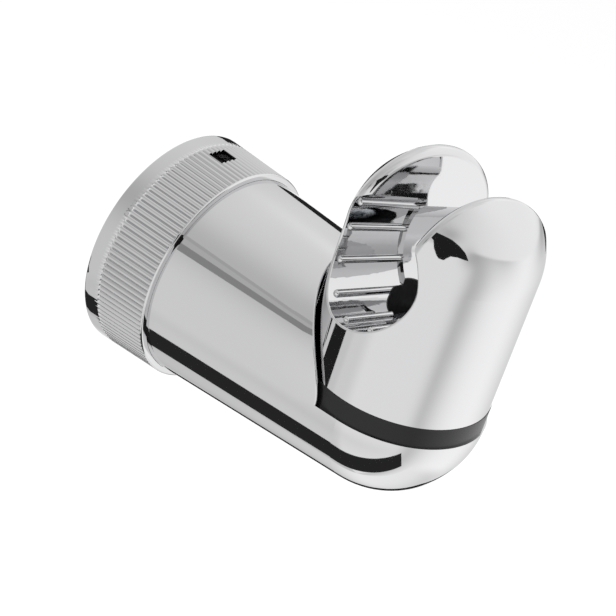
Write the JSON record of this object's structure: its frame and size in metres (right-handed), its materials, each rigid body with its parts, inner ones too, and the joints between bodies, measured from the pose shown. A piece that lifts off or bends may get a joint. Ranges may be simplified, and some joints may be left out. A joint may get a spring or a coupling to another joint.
{
  "type": "shower head holder",
  "caption": "Wall holder for a hand shower: a chromed fork with a ribbed cone socket swivels on a tapered arm that a knurled ring clamps to a wall plate.",
  "frame": {"origin": "centre of the face that lies against the wall", "axes": "+Y into the wall, the arm along -Y, the fork's slot opens along +Z"},
  "size_m": [0.0518, 0.0853, 0.0772],
  "materials": {
    "chrome": "polished chrome plating on moulded ABS",
    "black_rubber": "matt moulded rubber",
    "dark_plastic": "moulded, fine grain",
    "zinc_steel": "zinc plated steel",
    "brass": "turned brass"
  },
  "bodies": {
    "base": {"wall_plate": "dark_plastic", "clamp_gasket": "black_rubber"},
    "ring": {"knurled_ring": "chrome"},
    "arm": {"arm_body": "chrome", "arm_flange": "dark_plastic", "flange_screw_1": "zinc_steel", "flange_screw_2": "zinc_steel", "flange_screw_3": "zinc_steel", "swivel_ring": "black_rubber", "pivot_washer": "zinc_steel", "disc_spring": "zinc_steel", "pivot_screw": "zinc_steel", "pivot_nut": "brass"},
    "fork": {"fork_head": "chrome"}
  },
  "joints": [
    {"name": "arm_turn", "type": "hinge", "parent": "base", "child": "arm", "pos_m": [0, 0, 0], "axis": [0, -1, 0], "continuous": true},
    {"name": "ring_turn", "type": "hinge", "parent": "base", "child": "ring", "pos_m": [0, 0, 0], "axis": [0, -1, 0], "range_deg": [0, 60]},
    {"name": "fork_swivel", "type": "hinge", "parent": "arm", "child": "fork", "pos_m": [0, -0.0648, 0], "axis": [0, 0, 1], "continuous": true}
  ]
}
